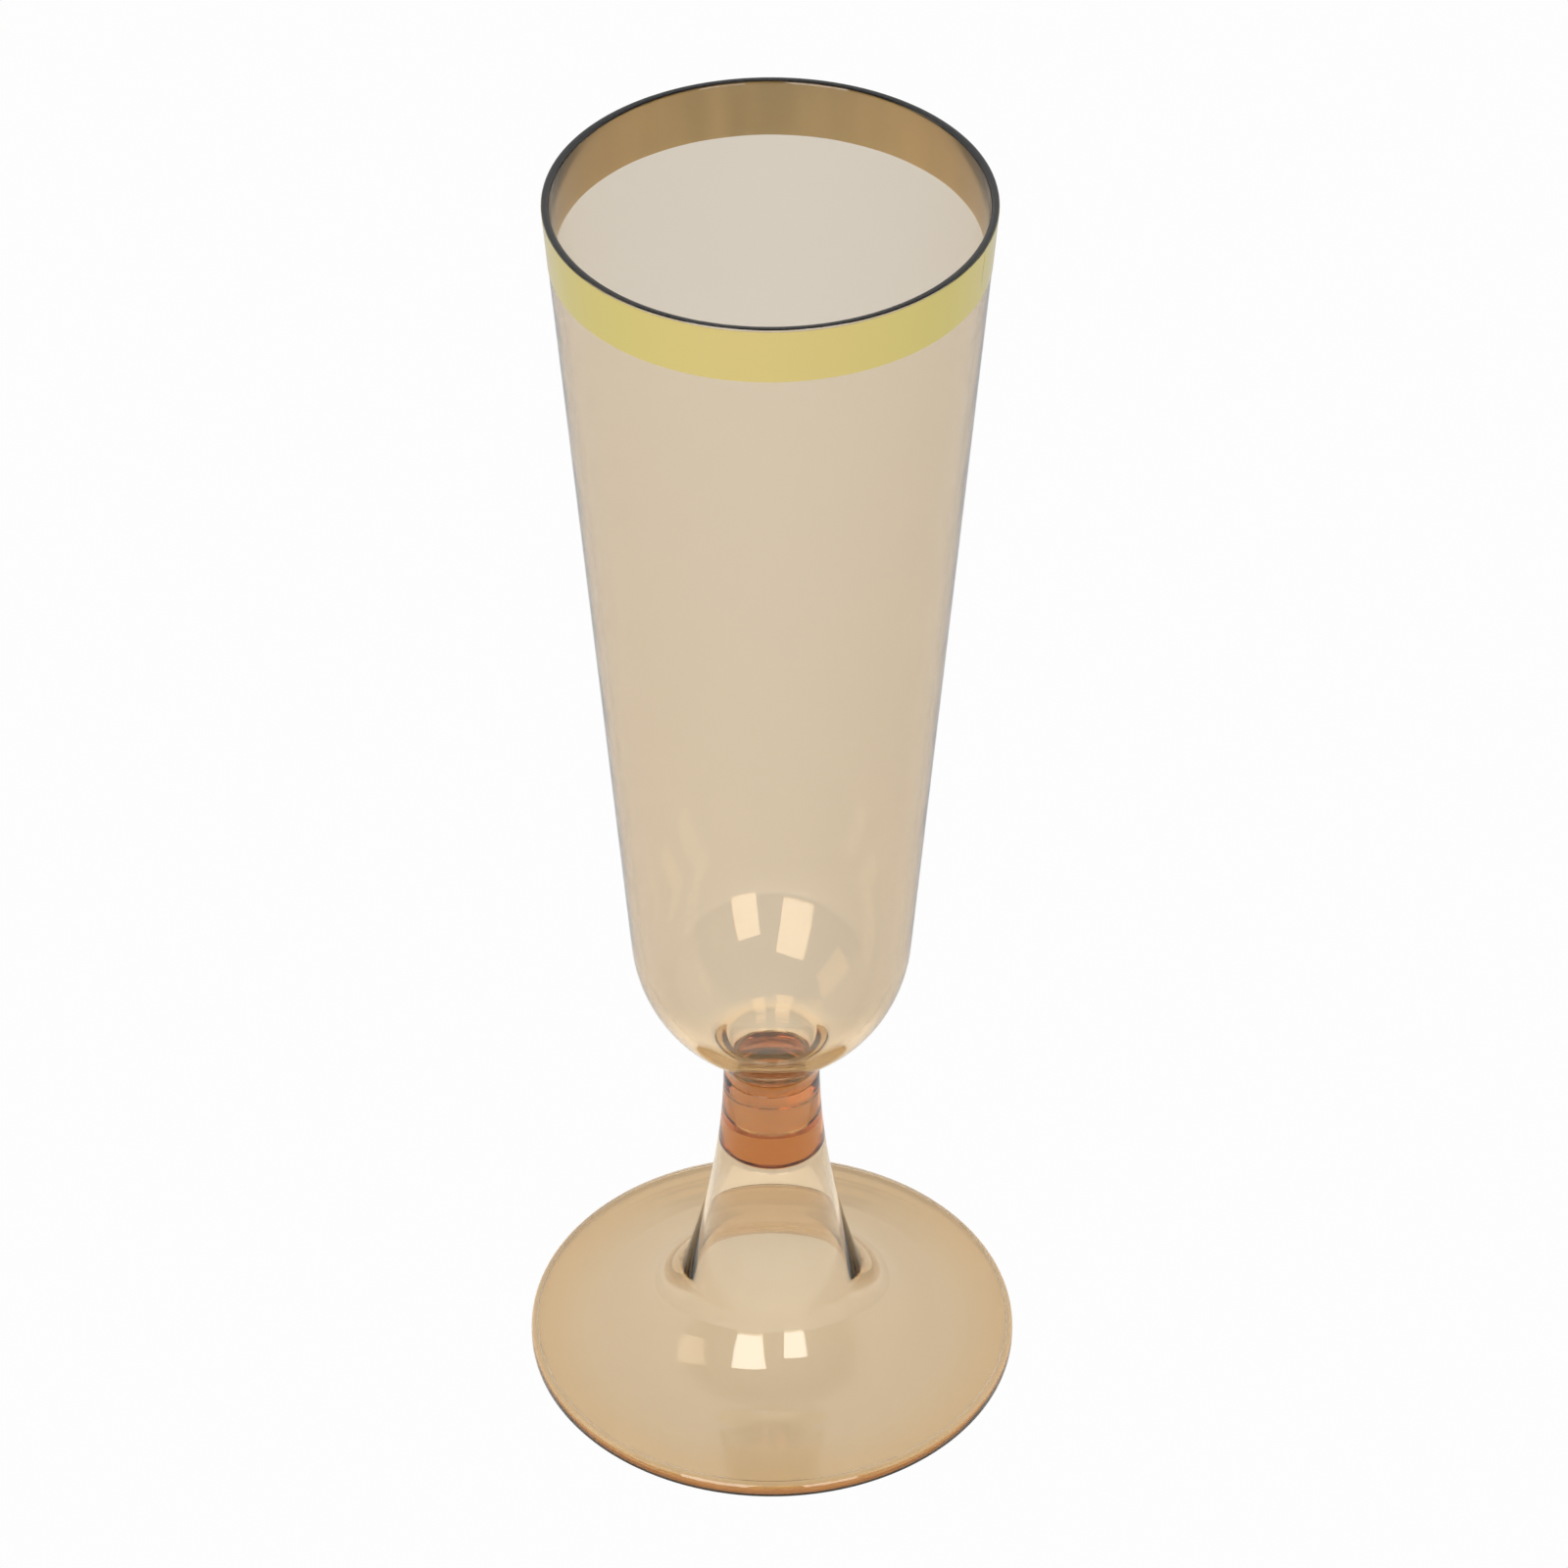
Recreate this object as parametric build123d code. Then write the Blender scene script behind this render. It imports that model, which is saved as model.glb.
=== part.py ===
from build123d import *
import os
from math import acos, atan2, cos, hypot, radians, sin, tan

# Two-piece moulded plastic champagne flute. Millimetres, +Z up, the table is z = 0 and the
# flute's axis is the Z axis. Each piece is a half section in the XZ plane, turned about Z.

# Overall sizes
total_height = 172.0
rim_diameter = 51.2          # over the gold band
foot_diameter = 61.5
joint_height = 44.3          # the bowl's shoulder stands on the stem's top here

# Bowl
band_thickness = 0.1
band_height = 7.0
band_below_lip = 0.3
lip_wall = 0.9
bottom_wall = 1.15
bottom_arc_radius = 20.8     # the rounded bottom is an arc whose centre lies past the axis,
bottom_arc_centre = (-3.7, 66.5)  # which draws the bottom out towards the neck
neck_radius = 6.0
neck_fillet = 6.5            # outside, between the rounded bottom and the neck
dish_mouth_radius = 5.6      # the small dish at the bottom of the cup, inside the neck
dish_mouth_rounding = 1.0
dish_floor_radius = 4.6
dish_floor_rise = 1.2        # above the joint
dish_floor_rounding = 0.5

# Solid plug below the bowl's shoulder
plug_length = 6.8
plug_top_radius = 4.92
plug_draft = radians(0.6)
plug_chamfer = 0.35

# Base: hollow stem and foot
socket_clearance = 0.03      # radial, all round the plug
socket_end_gap = 0.05
web_thickness = 5.2          # solid between the socket's floor and the hollow's ceiling
stem_narrowest_radius = 5.93 # where the stem's slow curve would be upright
stem_curve_radius = 118.0
flare_radius = 11.9          # the quick curve from the stem into the foot
flare_centre = (22.7, 14.2)
stem_edge = 0.2
hollow_top_radius = 5.2
hollow_corner = 1.0
foot_wall = 1.25
foot_edge_height = 1.95
foot_edge_rounding = 0.9
foot_landing_width = 0.6     # the flat under the edge that touches the table
foot_landing_edge = 0.25


def tangent_point(start, centre, radius, side):
    """Where a line from start touches the circle; side is +1 or -1."""
    away_x = start[0] - centre[0]
    away_z = start[1] - centre[1]
    reach = hypot(away_x, away_z)
    angle = atan2(away_z, away_x) + side * acos(radius / reach)
    return centre[0] + radius * cos(angle), centre[1] + radius * sin(angle)


def on_circle(centre, radius, angle):
    """The point of the circle at this angle, in radians from the outward direction."""
    return centre[0] + radius * cos(angle), centre[1] + radius * sin(angle)


def middle_of_arc(centre, radius, first, last):
    """The point of the circle half way between two of its points."""
    angle_first = atan2(first[1] - centre[1], first[0] - centre[0])
    angle_last = atan2(last[1] - centre[1], last[0] - centre[0])
    return on_circle(centre, radius, (angle_first + angle_last) / 2)


def arc_about(centre, radius, first, last):
    """The short arc about centre from first to last."""
    return ThreePointArc(first, middle_of_arc(centre, radius, first, last), last)


def circle_height(centre, radius, distance):
    """Height of the circle's lower half at this distance from the axis."""
    return centre[1] - (radius**2 - (distance - centre[0])**2)**0.5


def turned(half_section):
    """Turn a half section, drawn with X outward and Y up, about the flute's axis."""
    return revolve(Plane.XZ * half_section, Axis.Z, 360)


def near(face, point):
    """The face's corner nearest to this point."""
    return face.vertices().sort_by_distance(point)[0]


# The bowl's wall: a straight cone from the lip down to the rounded bottom
lip_radius = rim_diameter / 2 - band_thickness
lip_outside = (lip_radius, total_height)
cone_foot = tangent_point(lip_outside, bottom_arc_centre, bottom_arc_radius, -1)
wall_slope = (lip_outside[0] - cone_foot[0]) / (lip_outside[1] - cone_foot[1])


def wall_radius(height):
    """Outside radius of the conical wall at this height."""
    return lip_radius - (total_height - height) * wall_slope


def make_bowl():
    """Cup, neck, shoulder and solid plug in one moulding."""
    inside_arc_radius = bottom_arc_radius - bottom_wall
    lip_inside = (lip_radius - lip_wall, total_height)
    inside_foot = tangent_point(lip_inside, bottom_arc_centre, inside_arc_radius, -1)
    neck_top = (neck_radius, circle_height(bottom_arc_centre, bottom_arc_radius, neck_radius))
    dish_mouth_height = circle_height(bottom_arc_centre, inside_arc_radius, dish_mouth_radius)
    dish_mouth = (dish_mouth_radius, dish_mouth_height)
    dish_floor = (dish_floor_radius, joint_height + dish_floor_rise)
    plug_foot = joint_height - plug_length
    plug_foot_radius = plug_top_radius - plug_length * tan(plug_draft)

    outline = [
        Line(lip_outside, cone_foot),
        arc_about(bottom_arc_centre, bottom_arc_radius, cone_foot, neck_top),
        Polyline(
            neck_top,
            (neck_radius, joint_height),
            (plug_top_radius, joint_height),
            (plug_foot_radius, plug_foot),
            (0, plug_foot),
            (0, dish_floor[1]),
            dish_floor,
            dish_mouth,
        ),
        arc_about(bottom_arc_centre, inside_arc_radius, dish_mouth, inside_foot),
        Line(inside_foot, lip_inside),
        Line(lip_inside, lip_outside),
    ]
    section = make_face((Curve() + outline).edges())
    section = fillet(near(section, neck_top), neck_fillet)
    section = fillet(near(section, dish_mouth), dish_mouth_rounding)
    section = fillet(near(section, dish_floor), dish_floor_rounding)
    section = fillet([near(section, lip_outside), near(section, lip_inside)], lip_wall * 0.4)
    section = chamfer(near(section, (plug_foot_radius, plug_foot)), plug_chamfer)
    return turned(section)


def make_gold_rim_band():
    """Foil band on the outside of the wall, just under the lip's rounding."""
    top = total_height - band_below_lip
    foot = top - band_height
    section = make_face(Polyline(
        (wall_radius(top), top),
        (wall_radius(foot), foot),
        (wall_radius(foot) + band_thickness, foot),
        (wall_radius(top) + band_thickness, top),
        close=True,
    ))
    return turned(section)


def make_base():
    """Hollow stem with the plug's socket, the flare and the foot, in one moulding."""
    socket_radius = plug_top_radius + socket_clearance
    socket_foot = joint_height - plug_length - socket_end_gap
    socket_foot_radius = socket_radius - (joint_height - socket_foot) * tan(plug_draft)
    ceiling = socket_foot - web_thickness
    ceiling_edge = (hollow_top_radius, ceiling)

    # The stem's curve and the flare share a tangent, so the two centres and the point where
    # they meet lie on one line.
    centre_gap = stem_curve_radius - flare_radius
    stem_centre_x = stem_narrowest_radius + stem_curve_radius
    lean = acos((stem_centre_x - flare_centre[0]) / centre_gap)
    stem_centre = (stem_centre_x, flare_centre[1] + centre_gap * sin(lean))
    meeting = on_circle(flare_centre, flare_radius, radians(180) + lean)
    rise = stem_centre[1] - joint_height
    stem_top = (stem_centre_x - (stem_curve_radius**2 - rise**2)**0.5, joint_height)

    # Foot: the plate's top falls gently from the flare to the edge
    foot_radius = foot_diameter / 2
    plate_top = on_circle(flare_centre, flare_radius, radians(270 - 2))
    under_radius = flare_radius + foot_wall
    under_start = tangent_point(ceiling_edge, flare_centre, under_radius, 1)
    under_end = (flare_centre[0], flare_centre[1] - under_radius)

    outline = [
        ThreePointArc(
            stem_top,
            on_circle(stem_centre, stem_curve_radius, radians(180) + lean / 2),
            meeting,
        ),
        arc_about(flare_centre, flare_radius, meeting, plate_top),
        Polyline(
            plate_top,
            (foot_radius, foot_edge_height),
            (foot_radius, 0),
            (foot_radius - foot_landing_width, 0),
            under_end,
        ),
        arc_about(flare_centre, under_radius, under_end, under_start),
        Polyline(
            under_start,
            ceiling_edge,
            (0, ceiling),
            (0, socket_foot),
            (socket_foot_radius, socket_foot),
            (socket_radius, joint_height),
            stem_top,
        ),
    ]
    section = make_face((Curve() + outline).edges())
    section = fillet(near(section, stem_top), stem_edge)
    section = fillet(near(section, ceiling_edge), hollow_corner)
    section = fillet(near(section, (foot_radius, foot_edge_height)), foot_edge_rounding)
    section = fillet(near(section, (foot_radius, 0)), foot_landing_edge)
    return turned(section)


pieces = {
    "bowl": make_bowl(),
    "gold_rim_band": make_gold_rim_band(),
    "base": make_base(),
}

os.makedirs("parts", exist_ok=True)
for name, piece in pieces.items():
    export_step(piece, f"parts/{name}.step")
    print(name, "volume", round(piece.volume / 1000, 2), "ml", piece.bounding_box())
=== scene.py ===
from math import acos, atan2, cos, hypot, pi, radians, sin, sqrt, tan

import bpy
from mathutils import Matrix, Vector


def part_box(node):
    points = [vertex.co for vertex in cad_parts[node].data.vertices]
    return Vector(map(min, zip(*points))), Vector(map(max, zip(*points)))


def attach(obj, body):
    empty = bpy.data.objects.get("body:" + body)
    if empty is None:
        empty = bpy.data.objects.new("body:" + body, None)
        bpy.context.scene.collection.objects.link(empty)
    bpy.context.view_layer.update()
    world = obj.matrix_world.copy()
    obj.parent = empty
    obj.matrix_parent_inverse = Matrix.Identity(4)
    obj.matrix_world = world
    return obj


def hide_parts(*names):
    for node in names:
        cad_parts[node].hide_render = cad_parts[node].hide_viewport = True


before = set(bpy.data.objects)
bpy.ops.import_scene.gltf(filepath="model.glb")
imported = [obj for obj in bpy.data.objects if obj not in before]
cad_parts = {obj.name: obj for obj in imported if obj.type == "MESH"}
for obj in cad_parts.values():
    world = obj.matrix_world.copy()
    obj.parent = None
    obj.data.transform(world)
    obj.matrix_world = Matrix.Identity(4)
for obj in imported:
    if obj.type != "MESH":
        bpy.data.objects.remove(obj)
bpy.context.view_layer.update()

mm = 0.001

# ---------------------------------------------------------------------------------------------
# The bowl: the cup of the flute with its neck and its solid plug, one injection moulding in
# clear amber-tinted polystyrene. The steel mould is polished, so both sides of the wall are
# glossy. The plug below the shoulder is pressed into the stem; nothing else holds it.
# ---------------------------------------------------------------------------------------------

bowl_low, bowl_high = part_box("bowl")
base_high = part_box("base")[1]
lip_height = bowl_high.z
lip_radius = bowl_high.x + 0.03 * mm   # before the lip's rounding takes its share
plug_foot = bowl_low.z
joint_height = base_high.z
lip_wall = 0.9 * mm
lip_outer_rounding = 0.2 * mm
lip_inner_rounding = 0.5 * mm
bottom_wall = 1.15 * mm
bottom_arc_radius = 20.8 * mm
bottom_arc_centre = (-3.7 * mm, 66.5 * mm)  # past the axis, so the bottom draws out to the neck
neck_radius = 6.0 * mm
neck_fillet = 6.5 * mm        # outside, from the rounded bottom into the neck
dish_mouth_radius = 5.6 * mm  # the small dish at the bottom of the cup
dish_mouth_rounding = 1.0 * mm
dish_floor_radius = 4.6 * mm
dish_floor_rise = 1.2 * mm    # above the joint
dish_floor_rounding = 0.5 * mm
plug_top_radius = 4.92 * mm
plug_draft = radians(0.6)
plug_chamfer = 0.35 * mm
shoulder_gap = 0.02 * mm      # the two mouldings touch without melting into each other
turns = 288                   # facets round the axis
pole_ring = 1 * mm            # the first ring of faces round the axis


def tangent_point(start, centre, radius, side):
    """Where a line from start touches the circle; side is +1 or -1."""
    away = (start[0] - centre[0], start[1] - centre[1])
    angle = atan2(away[1], away[0]) + side * acos(radius / hypot(*away))
    return centre[0] + radius * cos(angle), centre[1] + radius * sin(angle)


def arc(centre, first, last, step=0.6 * mm, finest=7):
    """Points along the short arc about centre, from first to last."""
    radius = hypot(first[0] - centre[0], first[1] - centre[1])
    start = atan2(first[1] - centre[1], first[0] - centre[0])
    sweep = atan2(last[1] - centre[1], last[0] - centre[0]) - start
    sweep = (sweep + pi) % (2 * pi) - pi
    count = max(finest, int(abs(sweep) * radius / step))
    return [
        (centre[0] + radius * cos(start + sweep * i / count),
         centre[1] + radius * sin(start + sweep * i / count))
        for i in range(count + 1)
    ]


def line(first, last, step):
    """Points along a straight run, both ends included."""
    count = max(1, round(hypot(last[0] - first[0], last[1] - first[1]) / step))
    return [
        (first[0] + (last[0] - first[0]) * i / count, first[1] + (last[1] - first[1]) * i / count)
        for i in range(count + 1)
    ]


def rounded(before, corner, after, radius):
    """The corner between two straight runs, rounded off."""
    a = Vector((before[0] - corner[0], before[1] - corner[1])).normalized()
    b = Vector((after[0] - corner[0], after[1] - corner[1])).normalized()
    half = a.angle(b) / 2
    first = Vector(corner) + a * radius / tan(half)
    last = Vector(corner) + b * radius / tan(half)
    centre = Vector(corner) + (a + b).normalized() * radius / sin(half)
    return arc(centre, first, last)


def blend_from_arc(arc_centre, arc_radius, line_x, rounding):
    """A rounding between the bowl's bottom arc and the upright line below it."""
    centre_x = line_x + rounding
    reach = arc_radius + rounding
    centre_z = arc_centre[1] - sqrt(reach**2 - (centre_x - arc_centre[0])**2)
    share = arc_radius / reach
    on_arc = (
        arc_centre[0] + (centre_x - arc_centre[0]) * share,
        arc_centre[1] + (centre_z - arc_centre[1]) * share,
    )
    return arc((centre_x, centre_z), on_arc, (line_x, centre_z))


def joined(*runs):
    """One outline from runs of points, without the points that two runs share."""
    points = []
    for point in (p for run in runs for p in run):
        if not points or hypot(point[0] - points[-1][0], point[1] - points[-1][1]) > 1e-7:
            points.append(point)
    return points


def add_node(tree, kind, links=None, **settings):
    """Adds one node, sets its properties and default inputs, and links its inputs."""
    node = tree.nodes.new(kind)
    for name, value in settings.items():
        setattr(node, name, value)
    for key, value in (links or {}).items():
        socket = node.inputs[key]
        if isinstance(value, bpy.types.NodeSocket):
            tree.links.new(value, socket)
        else:
            socket.default_value = value
    return node


def lathe_tree():
    """Turns an outline, given as a row of points in XZ, into a closed wall round Z."""
    tree = bpy.data.node_groups.new("lathe", "GeometryNodeTree")
    face = tree.interface
    face.new_socket("Outline", in_out="INPUT", socket_type="NodeSocketGeometry")
    face.new_socket("Facets", in_out="INPUT", socket_type="NodeSocketInt")
    face.new_socket("Weld", in_out="INPUT", socket_type="NodeSocketFloat")
    face.new_socket("Crease", in_out="INPUT", socket_type="NodeSocketFloat")
    face.new_socket("Finish", in_out="INPUT", socket_type="NodeSocketMaterial")
    face.new_socket("Wall", in_out="OUTPUT", socket_type="NodeSocketGeometry")
    given = add_node(tree, "NodeGroupInput").outputs
    points = add_node(tree, "GeometryNodeAttributeDomainSize", {0: given["Outline"]})
    around = add_node(tree, "ShaderNodeMath", {0: given["Facets"], 1: 1.0}, operation="ADD")
    sheet = add_node(tree, "GeometryNodeMeshGrid", {
        "Vertices X": points.outputs["Point Count"],
        "Vertices Y": around.outputs[0],
    })
    index = add_node(tree, "GeometryNodeInputIndex")
    row = add_node(tree, "ShaderNodeMath", {0: index.outputs[0], 1: around.outputs[0]},
                   operation="DIVIDE")
    row = add_node(tree, "ShaderNodeMath", {0: row.outputs[0]}, operation="FLOOR")
    column = add_node(tree, "ShaderNodeMath", {0: index.outputs[0], 1: around.outputs[0]},
                      operation="MODULO")
    turn = add_node(tree, "ShaderNodeMath", {0: column.outputs[0], 1: given["Facets"]},
                    operation="DIVIDE")
    turn = add_node(tree, "ShaderNodeMath", {0: turn.outputs[0], 1: 2 * pi}, operation="MULTIPLY")
    place = add_node(tree, "GeometryNodeInputPosition")
    outline = add_node(tree, "GeometryNodeSampleIndex", {
        "Geometry": given["Outline"],
        "Value": place.outputs[0],
        "Index": row.outputs[0],
    }, data_type="FLOAT_VECTOR", domain="POINT")
    swung = add_node(tree, "ShaderNodeVectorRotate", {
        "Vector": outline.outputs["Value"],
        "Angle": turn.outputs[0],
    }, rotation_type="Z_AXIS")
    wall = add_node(tree, "GeometryNodeSetPosition", {
        "Geometry": sheet.outputs["Mesh"],
        "Position": swung.outputs[0],
    })
    welded = add_node(tree, "GeometryNodeMergeByDistance", {
        "Geometry": wall.outputs[0],
        "Distance": given["Weld"],
    })
    outward = add_node(tree, "GeometryNodeFlipFaces", {"Mesh": welded.outputs[0]})
    smooth = add_node(tree, "GeometryNodeSetShadeSmooth", {"Geometry": outward.outputs[0]})
    bend = add_node(tree, "GeometryNodeInputMeshEdgeAngle")
    sharp = add_node(tree, "FunctionNodeCompare", {
        0: bend.outputs["Unsigned Angle"],
        1: given["Crease"],
    }, data_type="FLOAT", operation="GREATER_THAN")
    creased = add_node(tree, "GeometryNodeSetShadeSmooth", {
        "Geometry": smooth.outputs[0],
        "Selection": sharp.outputs[0],
        "Shade Smooth": False,
    }, domain="EDGE")
    whole = add_node(tree, "GeometryNodeRealizeInstances", {0: creased.outputs[0]})
    finish = add_node(tree, "GeometryNodeSetMaterial", {
        "Geometry": whole.outputs[0],
        "Material": given["Finish"],
    })
    add_node(tree, "NodeGroupOutput", {0: finish.outputs[0]})
    return tree


lathe = lathe_tree()


def made_plain(name, points, edges, tree, inputs):
    """Runs a Geometry Nodes tree on these points and keeps the result as a plain mesh."""
    seed = bpy.data.meshes.new(name + "_outline")
    seed.from_pydata(points, edges, [])
    maker = bpy.data.objects.new(name + "_maker", seed)
    bpy.context.scene.collection.objects.link(maker)
    modifier = maker.modifiers.new("maker", "NODES")
    modifier.node_group = tree
    for item in tree.interface.items_tree:
        if item.item_type == "SOCKET" and item.in_out == "INPUT" and item.name in inputs:
            modifier[item.identifier] = inputs[item.name]
    ready = maker.evaluated_get(bpy.context.evaluated_depsgraph_get())
    mesh = bpy.data.meshes.new_from_object(ready)
    bpy.data.objects.remove(maker)
    mesh.name = name
    piece = bpy.data.objects.new(name, mesh)
    bpy.context.scene.collection.objects.link(piece)
    return piece


def turned(name, outline, finish, crease=radians(28)):
    """A turned piece from its half section, as the lathe tree makes it."""
    points = [(x, 0.0, z) for x, z in outline]
    edges = [(i, i + 1) for i in range(len(points) - 1)]
    return made_plain(name, points, edges, lathe, {
        "Facets": turns,
        "Weld": 0.002 * mm,
        "Crease": crease,
        "Finish": finish,
    })


def linear(code, alpha=1.0):
    """An sRGB hex colour as the linear values that a shader takes."""
    parts = [int(code[i:i + 2], 16) / 255 for i in (1, 3, 5)]
    return tuple(
        c / 12.92 if c <= 0.04045 else ((c + 0.055) / 1.055)**2.4 for c in parts
    ) + (alpha,)


def new_material(name):
    """An empty node material and its tree."""
    material = bpy.data.materials.new(name)
    material.use_nodes = True
    material.node_tree.nodes.clear()
    return material, material.node_tree


def polystyrene(name, ripple, ripple_depth):
    """Clear amber-tinted polystyrene from a polished mould: glossy, colourless at the surface,
    with the tint in its depth, so thick places go deep orange and thin walls stay pale."""
    material, tree = new_material(name)
    place = add_node(tree, "ShaderNodeTexCoord").outputs["Object"]
    flow = add_node(tree, "ShaderNodeTexNoise", {
        "Vector": place,
        "Scale": 1 / ripple,
        "Detail": 2.0,
        "Roughness": 0.4,
    })
    bump = add_node(tree, "ShaderNodeBump", {
        "Strength": 1.0,
        "Distance": ripple_depth,
        "Height": flow.outputs["Fac"],
    })
    surface = add_node(tree, "ShaderNodeBsdfPrincipled", {
        "Base Color": linear("#ffffff"),
        "Roughness": 0.015,
        "IOR": 1.59,
        "Transmission Weight": 1.0,
        "Normal": bump.outputs[0],
    })
    tint = add_node(tree, "ShaderNodeVolumeAbsorption", {
        "Color": linear("#f1d181"),
        "Density": 338.0,
    })
    add_node(tree, "ShaderNodeOutputMaterial", {
        "Surface": surface.outputs[0],
        "Volume": tint.outputs[0],
    })
    return material


def bowl_outline():
    """Half section of the bowl, from the axis under the plug, up the outside, down the inside."""
    outside_arc = bottom_arc_radius
    inside_arc = bottom_arc_radius - bottom_wall

    def on_inside(x):
        """The point of the rounded bottom's inside at this distance from the axis."""
        return x, bottom_arc_centre[1] - sqrt(inside_arc**2 - (x - bottom_arc_centre[0])**2)

    lip_outside = (lip_radius, lip_height)
    lip_inside = (lip_radius - lip_wall, lip_height)
    outside_foot = tangent_point(lip_outside, bottom_arc_centre, outside_arc, -1)
    inside_foot = tangent_point(lip_inside, bottom_arc_centre, inside_arc, -1)
    neck_bend = blend_from_arc(bottom_arc_centre, outside_arc, neck_radius, neck_fillet)
    shoulder = joint_height + shoulder_gap
    plug_end = plug_top_radius - (joint_height - plug_foot) * tan(plug_draft)
    plug_top = (plug_top_radius, shoulder)
    plug_edge = (plug_end, plug_foot + plug_chamfer)
    plug_under = (plug_end - plug_chamfer, plug_foot)
    dish_top = on_inside(dish_mouth_radius)
    above_dish = on_inside(dish_mouth_radius + 0.6 * dish_mouth_rounding)
    towards_dish = on_inside(dish_mouth_radius + 0.8 * mm)
    dish_floor = (dish_floor_radius, joint_height + dish_floor_rise)
    dish_centre = (0, dish_floor[1])
    return joined(
        [(0, plug_foot)],
        line((pole_ring, plug_foot), plug_under, pole_ring),
        line(plug_edge, plug_top, 0.8 * mm),
        line(plug_top, (neck_radius, shoulder), 0.5 * mm),
        line((neck_radius, shoulder), neck_bend[-1], 0.5 * mm),
        reversed(neck_bend),
        arc(bottom_arc_centre, neck_bend[0], outside_foot),
        line(outside_foot, lip_outside, 4 * mm)[:-1],
        rounded(outside_foot, lip_outside, lip_inside, lip_outer_rounding),
        rounded(lip_outside, lip_inside, inside_foot, lip_inner_rounding),
        line(lip_inside, inside_foot, 4 * mm)[1:],
        arc(bottom_arc_centre, inside_foot, above_dish),
        rounded(towards_dish, dish_top, dish_floor, dish_mouth_rounding),
        rounded(dish_top, dish_floor, dish_centre, dish_floor_rounding),
        [(pole_ring, dish_floor[1]), dish_centre],
    )


cup_plastic = polystyrene("amber_polystyrene_polished_mould", 9 * mm, 0.012 * mm)
bowl = turned("amber_bowl", bowl_outline(), cup_plastic)
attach(bowl, "bowl")
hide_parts("bowl")

# ---------------------------------------------------------------------------------------------
# The gold band: metallised foil, hot-stamped on the outside of the wall just under the lip by
# rolling the cup against a heated die. It is a skin of metal under clear lacquer.
# ---------------------------------------------------------------------------------------------

band_low, band_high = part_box("gold_rim_band")
wall_foot = tangent_point((lip_radius, lip_height), bottom_arc_centre, bottom_arc_radius, -1)
wall_lean = (lip_radius - wall_foot[0]) / (lip_height - wall_foot[1])
foil_gap = 0.01 * mm
foil_skin = 0.035 * mm
seam_azimuth = radians(-25)     # on the right of the front
seam_overlap = 1.3 * mm
seam_waver = 0.22 * mm
edge_waver = 0.05 * mm
foil_rows = 8                   # faces up the foil
foil_columns = turns + 4        # faces once round it and over its own start
lap_columns = 5                 # the last of them climb over the start
cut_columns = 2                 # and at the very end the cut wavers


def foil_outside():
    """Metallised foil under clear gold lacquer. The die's roll leaves faint upright streaks. The
    colour is painted a little greener towards the two sides than at the front: a painted
    reflection."""
    material, tree = new_material("gold_foil_lacquered_face")
    place = add_node(tree, "ShaderNodeTexCoord").outputs["Object"]
    split = add_node(tree, "ShaderNodeSeparateXYZ", {0: place})
    sideways = add_node(tree, "ShaderNodeMath", {0: split.outputs["X"]}, operation="ABSOLUTE")
    # painted reflection: the gold is mixed greener the further the face is to either side of the
    # middle (|X|)
    side = add_node(tree, "ShaderNodeMapRange", {
        "Value": sideways.outputs[0],
        "From Min": 3 * mm,
        "From Max": 20 * mm,
    }, interpolation_type="SMOOTHSTEP")
    tint = add_node(tree, "ShaderNodeMix", {
        0: side.outputs[0],
        6: linear("#e5d188"),
        7: linear("#e8d987"),
    }, data_type="RGBA")
    round_and_up = add_node(tree, "ShaderNodeVectorMath", {0: place, 1: (1.0, 1.0, 0.06)},
                            operation="MULTIPLY")
    streaks = add_node(tree, "ShaderNodeTexNoise", {
        "Vector": round_and_up.outputs[0],
        "Scale": 1 / (1.6 * mm),
        "Detail": 3.0,
    })
    dull = add_node(tree, "ShaderNodeMapRange", {
        "Value": streaks.outputs["Fac"],
        "From Min": 0.3,
        "From Max": 0.7,
        "To Min": 0.13,
        "To Max": 0.2,
    })
    bump = add_node(tree, "ShaderNodeBump", {
        "Strength": 0.4,
        "Distance": 0.01 * mm,
        "Height": streaks.outputs["Fac"],
    })
    surface = add_node(tree, "ShaderNodeBsdfPrincipled", {
        "Base Color": tint.outputs[2],
        "Metallic": 1.0,
        "Roughness": dull.outputs[0],
        "Normal": bump.outputs[0],
    })
    add_node(tree, "ShaderNodeOutputMaterial", {"Surface": surface.outputs[0]})
    return material


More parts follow.
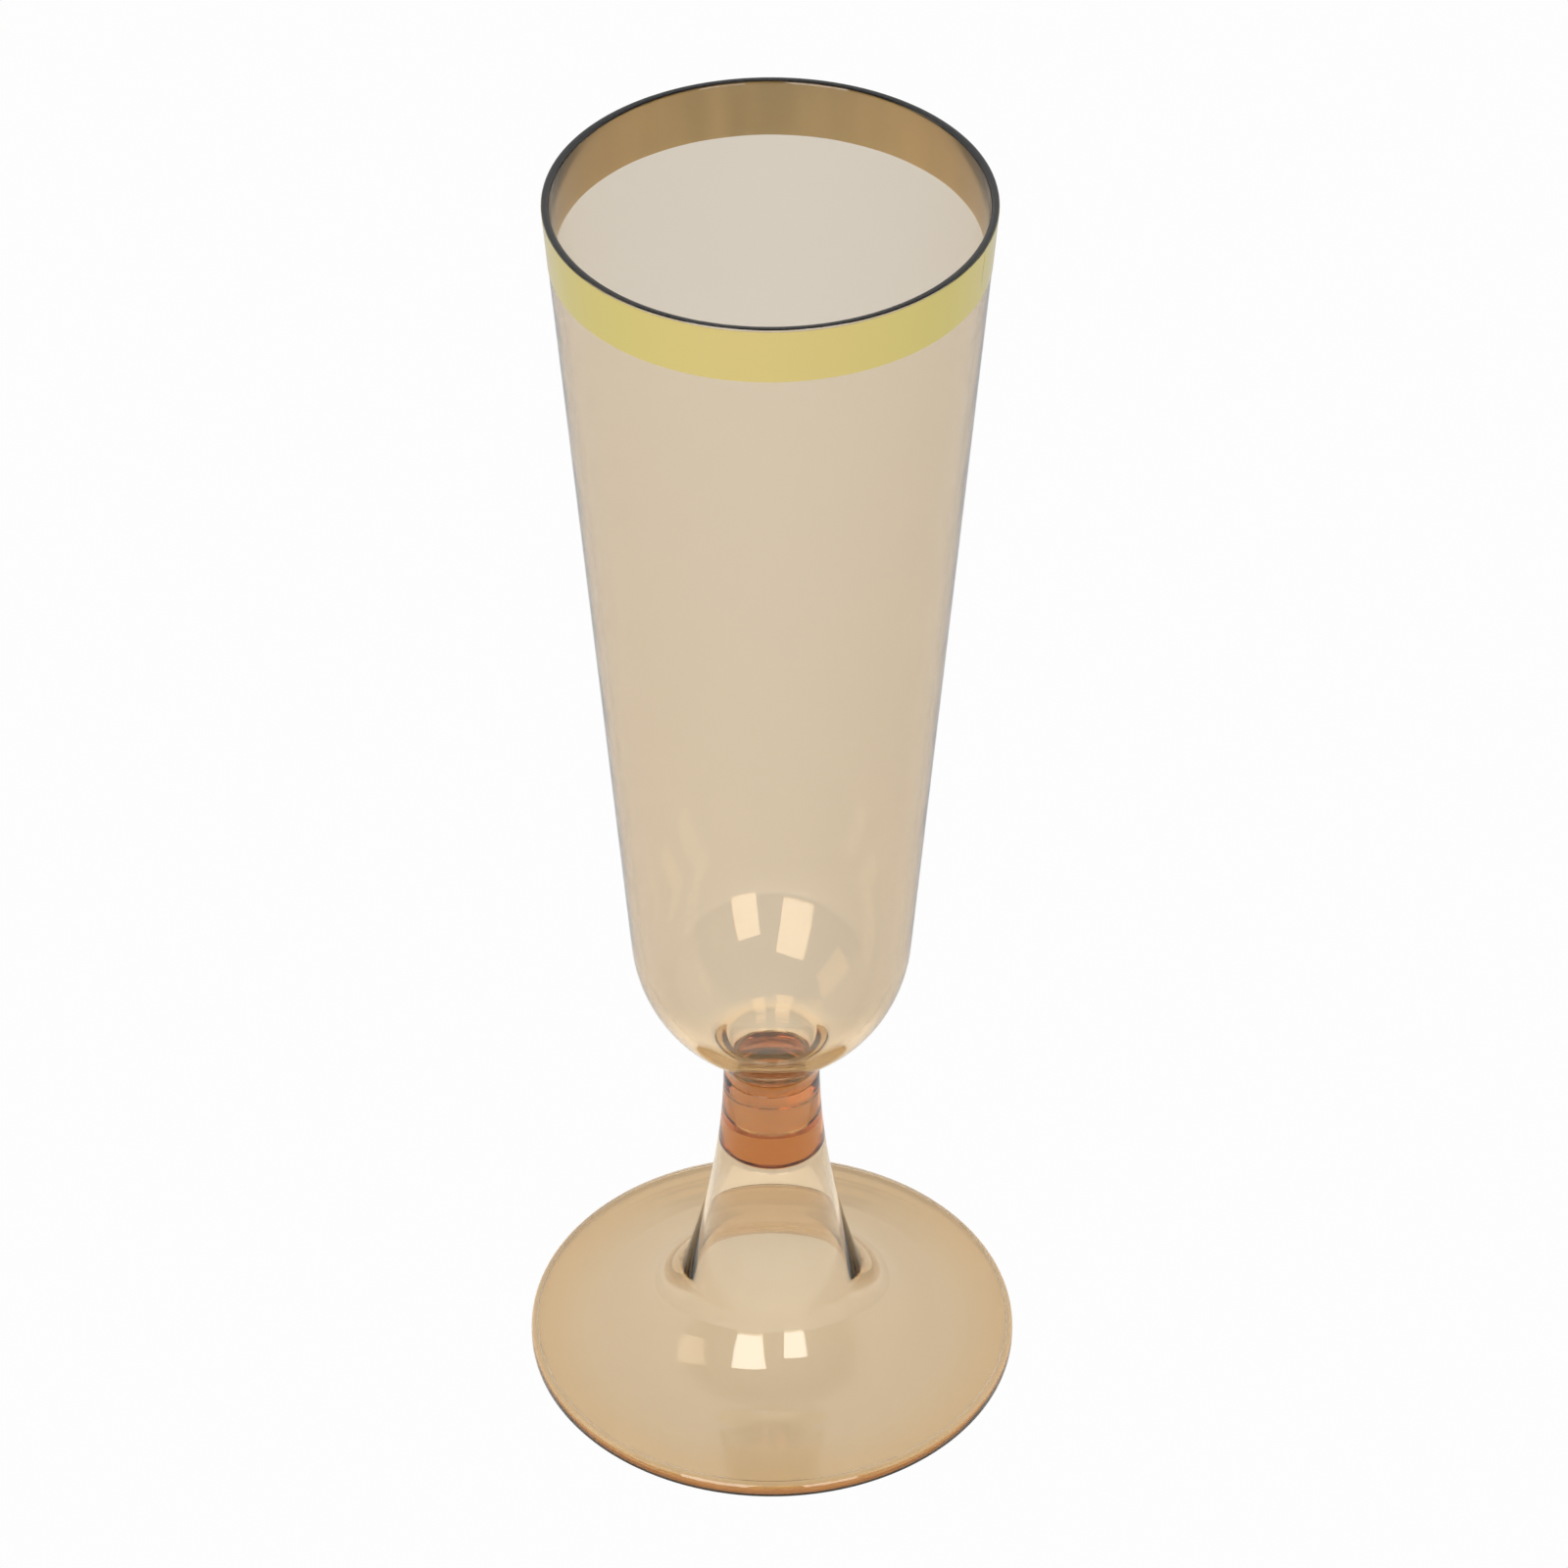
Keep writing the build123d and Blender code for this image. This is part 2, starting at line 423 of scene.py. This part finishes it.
def foil_back():
    """The glued side of the foil, seen through the wall: duller and browner. The hot glue flowed
    unevenly, in broad upright patches. On top of that the face is painted darker near the middle
    and lighter towards the two sides: painted shade."""
    material, tree = new_material("gold_foil_glued_face")
    place = add_node(tree, "ShaderNodeTexCoord").outputs["Object"]
    split = add_node(tree, "ShaderNodeSeparateXYZ", {0: place})
    sideways = add_node(tree, "ShaderNodeMath", {0: split.outputs["X"]}, operation="ABSOLUTE")
    # painted shade: darker near the middle (small |X|), lighter towards the two sides
    painted_shade_to_sides = add_node(tree, "ShaderNodeMapRange", {
        "Value": sideways.outputs[0],
        "From Min": 1 * mm,
        "From Max": 17 * mm,
    })
    round_and_up = add_node(tree, "ShaderNodeVectorMath", {0: place, 1: (1.0, 1.0, 0.12)},
                            operation="MULTIPLY")
    patches = add_node(tree, "ShaderNodeTexNoise", {
        "Vector": round_and_up.outputs[0],
        "Scale": 1 / (5 * mm),
        "Detail": 2.0,
    })
    uneven = add_node(tree, "ShaderNodeMapRange", {
        "Value": patches.outputs["Fac"],
        "From Min": 0.35,
        "From Max": 0.65,
        "To Min": -0.15,
        "To Max": 0.15,
    })
    share = add_node(tree, "ShaderNodeMath", {0: painted_shade_to_sides.outputs[0], 1: uneven.outputs[0]},
                     operation="ADD", use_clamp=True)
    tint = add_node(tree, "ShaderNodeMix", {
        0: share.outputs[0],
        6: linear("#a3946c"),
        7: linear("#d0bc8e"),
    }, data_type="RGBA")
    surface = add_node(tree, "ShaderNodeBsdfPrincipled", {
        "Base Color": tint.outputs[2],
        "Metallic": 1.0,
        "Roughness": 0.3,
    })
    add_node(tree, "ShaderNodeOutputMaterial", {"Surface": surface.outputs[0]})
    return material


def cut_edge(slow, fast):
    """How far the foil's long edge wanders in, from two waves round the rim."""
    return edge_waver * (1 + sin(slow) * 0.6 + sin(fast) * 0.4) / 2


def foil_mesh():
    """A strip of foil once round the wall, its end laid over its start. Its cut edges waver."""
    inside_up = [(rise / foil_rows, 0) for rise in range(foil_rows + 1)]
    outside_down = [(rise / foil_rows, 1) for rise in range(foil_rows, -1, -1)]
    section = inside_up + outside_down
    once_round = 2 * pi + seam_overlap / lip_radius
    points = []
    for column in range(foil_columns + 1):
        turn = once_round * column / foil_columns
        lapping = max(0, column - foil_columns + lap_columns) / lap_columns
        cutting = max(0, column - foil_columns + cut_columns) / cut_columns
        lift = foil_gap + lapping * (foil_skin + foil_gap / 2)
        low = band_low.z + cut_edge(7 * turn + 1, 19 * turn)
        high = band_high.z - cut_edge(5 * turn, 23 * turn + 2)
        for rise, face in section:
            height = low + (high - low) * rise
            slack = seam_waver * sin(9 * rise + 0.6) * cutting
            angle = seam_azimuth + turn + slack / lip_radius
            reach = lip_radius - (lip_height - height) * wall_lean + lift + foil_skin * face
            points.append((reach * cos(angle), reach * sin(angle), height))
    row = len(section)
    faces = [
        (c * row + i, c * row + (i + 1) % row, (c + 1) * row + (i + 1) % row, (c + 1) * row + i)
        for c in range(foil_columns) for i in range(row)
    ]
    faces.append(tuple(reversed(range(row))))
    faces.append(tuple(range(foil_columns * row, (foil_columns + 1) * row)))
    mesh = bpy.data.meshes.new("gold_band")
    mesh.from_pydata(points, [], faces)
    return mesh


band = bpy.data.objects.new("gold_band", foil_mesh())
bpy.context.scene.collection.objects.link(band)
band.data.materials.append(foil_outside())
band.data.materials.append(foil_back())
for face in band.data.polygons:
    inward = face.normal.x * face.center.x + face.normal.y * face.center.y < 0
    face.material_index = 1 if inward else 0
band.data.shade_smooth()
band.data.set_sharp_from_angle(angle=radians(40))
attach(band, "bowl")
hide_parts("gold_rim_band")

# ---------------------------------------------------------------------------------------------
# The base: hollow stem, flare and foot, the second injection moulding in the same amber
# polystyrene. The socket at its top grips the bowl's plug; the stem is open underneath, and
# the foot stands on a narrow flat under its edge.
# ---------------------------------------------------------------------------------------------

foot_radius = base_high.x
socket_bite = 0.02 * mm       # the press fit: no air is left between the plug and the socket
socket_end_gap = 0.05 * mm
web_thickness = 5.2 * mm      # solid between the socket and the hollow stem
stem_narrowest_radius = 5.93 * mm  # where the stem's slow curve would be upright
stem_curve_radius = 118.0 * mm
flare_radius = 11.9 * mm      # the quick curve from the stem into the foot
flare_centre = (22.7 * mm, 14.2 * mm)
stem_edge = 0.2 * mm
hollow_top_radius = 5.2 * mm
hollow_corner = 1.0 * mm
foot_wall = 1.25 * mm
foot_edge_height = 1.95 * mm
foot_edge_rounding = 0.9 * mm
foot_landing_width = 0.6 * mm  # the flat under the edge, all that touches the table
foot_landing_edge = 0.25 * mm
plate_fall = radians(2)       # how steeply the plate's top falls where the flare ends
web_rings = (1.5 * mm, 3 * mm)  # rings of faces on the socket's floor and on the hollow's ceiling


def base_outline():
    """Half section of the base, from the socket's floor, out over the top, back underneath."""
    socket_radius = plug_top_radius - socket_bite
    socket_foot = plug_foot - socket_end_gap
    socket_end = socket_radius - (joint_height - socket_foot) * tan(plug_draft)
    ceiling = socket_foot - web_thickness
    ceiling_edge = (hollow_top_radius, ceiling)
    centre_gap = stem_curve_radius - flare_radius
    stem_centre_x = stem_narrowest_radius + stem_curve_radius
    lean = acos((stem_centre_x - flare_centre[0]) / centre_gap)
    stem_centre = (stem_centre_x, flare_centre[1] + centre_gap * sin(lean))
    meeting = (
        flare_centre[0] - flare_radius * cos(lean),
        flare_centre[1] - flare_radius * sin(lean),
    )
    rise = stem_centre[1] - joint_height
    stem_top = (stem_centre_x - sqrt(stem_curve_radius**2 - rise**2), joint_height)
    plate_angle = radians(270) - plate_fall
    plate_top = (
        flare_centre[0] + flare_radius * cos(plate_angle),
        flare_centre[1] + flare_radius * sin(plate_angle),
    )
    under_radius = flare_radius + foot_wall
    under_start = tangent_point(ceiling_edge, flare_centre, under_radius, 1)
    under_end = (flare_centre[0], flare_centre[1] - under_radius)
    edge_top = (foot_radius, foot_edge_height)
    edge_foot = (foot_radius, 0)
    landing = (foot_radius - foot_landing_width, 0)
    socket_edge = (socket_radius, joint_height)
    return joined(
        [(0, socket_foot), *((x, socket_foot) for x in web_rings)],
        line((socket_end, socket_foot), socket_edge, 0.8 * mm),
        [((socket_radius + stem_top[0]) / 2, joint_height)],
        rounded(socket_edge, stem_top, (stem_top[0], 0), stem_edge),
        arc(stem_centre, stem_top, meeting, step=1.2 * mm)[1:],
        arc(flare_centre, meeting, plate_top, step=0.5 * mm),
        line(plate_top, edge_top, 0.8 * mm)[:-1],
        rounded(plate_top, edge_top, edge_foot, foot_edge_rounding),
        rounded(edge_top, edge_foot, landing, foot_landing_edge),
        line(landing, under_end, 0.5 * mm),
        arc(flare_centre, under_end, under_start, step=0.5 * mm),
        line(under_start, ceiling_edge, 1.2 * mm)[:-1],
        rounded(under_start, ceiling_edge, (0, ceiling), hollow_corner),
        [*((x, ceiling) for x in reversed(web_rings)), (0, ceiling)],
    )[::-1]


base = turned("amber_base", base_outline(), cup_plastic)
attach(base, "base")
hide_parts("base")

# ---------------------------------------------------------------------------------------------
# The studio: a plain pale table with a painted pool of light round the foot, a pale room that is
# dimmer on the camera's side, two soft boxes in front, a dim warm light at the left, and the
# camera.
# ---------------------------------------------------------------------------------------------

table_gap = 0.02 * mm
table_half = 6.0              # metres, far past what the camera sees
table_white = 0.9
page_white = 0.985            # what the camera sees behind the flute, on the table and above it
painted_glow_inner = 31 * mm          # the painted glow is even as far as the foot's edge and ends further out
painted_glow_outer = 60 * mm
painted_glow_strength = 0.33


def pale_table():
    """A plain pale matt table top. Round the foot it has a painted pool of light: an emission
    that stands in for the light that the plastic gathers and sends down through itself."""
    material, tree = new_material("pale_matt_table")
    matt = add_node(tree, "ShaderNodeBsdfDiffuse", {"Color": (table_white,) * 3 + (1.0,)})
    place = add_node(tree, "ShaderNodeTexCoord").outputs["Object"]
    away = add_node(tree, "ShaderNodeVectorMath", {0: place}, operation="LENGTH")
    # painted pool of light: emission, even out to the foot's edge, fading to nothing further out
    pool = add_node(tree, "ShaderNodeMapRange", {
        "Value": away.outputs["Value"],
        "From Min": painted_glow_inner,
        "From Max": painted_glow_outer,
        "To Min": painted_glow_strength,
        "To Max": 0.0,
    }, interpolation_type="SMOOTHSTEP")
    glow = add_node(tree, "ShaderNodeEmission", {
        "Color": linear("#f3e4c6"),
        "Strength": pool.outputs[0],
    })
    lit = add_node(tree, "ShaderNodeAddShader", {0: matt.outputs[0], 1: glow.outputs[0]})
    page = add_node(tree, "ShaderNodeEmission", {
        "Color": (1.0, 1.0, 1.0, 1.0),
        "Strength": page_white,
    })
    path = add_node(tree, "ShaderNodeLightPath")
    seen = add_node(tree, "ShaderNodeMixShader", {
        0: path.outputs["Is Camera Ray"],
        1: lit.outputs[0],
        2: page.outputs[0],
    })
    add_node(tree, "ShaderNodeOutputMaterial", {"Surface": seen.outputs[0]})
    return material


table_mesh = bpy.data.meshes.new("table")
table_corners = ((-1, -1), (1, -1), (1, 1), (-1, 1))
table_mesh.from_pydata(
    [(x * table_half, y * table_half, -table_gap) for x, y in table_corners],
    [], [(0, 1, 2, 3)],
)
table_mesh.materials.append(pale_table())
table = bpy.data.objects.new("table", table_mesh)
bpy.context.scene.collection.objects.link(table)

room_front = 0.22             # how bright the room is on the camera's side
room_back = 0.86              # and behind the flute
room_blend = 0.25             # how far to each side of the middle the change takes

world = bpy.data.worlds.new("pale_room")
bpy.context.scene.world = world
world.use_nodes = True
room = world.node_tree
room.nodes.clear()
direction = add_node(room, "ShaderNodeTexCoord").outputs["Generated"]
split = add_node(room, "ShaderNodeSeparateXYZ", {0: direction})
shade = add_node(room, "ShaderNodeMapRange", {
    "Value": split.outputs["Y"],
    "From Min": -room_blend,
    "From Max": room_blend,
    "To Min": room_front,
    "To Max": room_back,
}, interpolation_type="SMOOTHSTEP")
path = add_node(room, "ShaderNodeLightPath")
bright = add_node(room, "ShaderNodeMix", {
    0: path.outputs["Is Camera Ray"],
    2: shade.outputs[0],
    3: page_white,
}, data_type="FLOAT")
sky = add_node(room, "ShaderNodeBackground", {
    "Color": (1.0, 1.0, 1.0, 1.0),
    "Strength": bright.outputs[0],
})
add_node(room, "ShaderNodeOutputWorld", {"Surface": sky.outputs[0]})


def soft_box(name, azimuth, elevation, width, height, distance, radiance, colour):
    """A rectangular soft box that faces the flute. Azimuth 0 is the camera's side, + is +X.
    Angles, the width and the height are in degrees as seen from the flute."""
    lamp = bpy.data.lights.new(name, "AREA")
    lamp.shape = "RECTANGLE"
    lamp.size = 2 * distance * tan(radians(width) / 2)
    lamp.size_y = 2 * distance * tan(radians(height) / 2)
    lamp.energy = radiance * pi * lamp.size * lamp.size_y
    lamp.color = linear(colour)[:3]
    stand = bpy.data.objects.new(name, lamp)
    a, e = radians(azimuth), radians(elevation)
    back = Vector((sin(a) * cos(e), -cos(a) * cos(e), sin(e)))
    stand.location = back * distance
    stand.rotation_euler = (-back).to_track_quat("-Z", "Y").to_euler()
    bpy.context.scene.collection.objects.link(stand)


soft_box("soft_box_left", -24, 24, 28, 40, 1.3, 4.6, "#ffffff")
soft_box("soft_box_right", 24, 15, 22, 32, 1.3, 4.6, "#ffffff")
soft_box("warm_light", -83, 31, 22, 26, 1.3, 1.4, "#ffe9cc")

camera_back = 3.4254 * lip_height
camera_up = 3.2514 * lip_height
camera_dip = 0.6737           # radians below the level
camera_roll = -0.0026

camera_data = bpy.data.cameras.new("camera")
camera_data.lens = 145.06
camera_data.sensor_width = 36.0
camera = bpy.data.objects.new("camera", camera_data)
camera.location = (0.0, -camera_back, camera_up)
camera.rotation_euler = (pi / 2 - camera_dip, 0.0, camera_roll)
bpy.context.scene.collection.objects.link(camera)
bpy.context.scene.camera = camera
bpy.context.scene.view_settings.view_transform = "Standard"
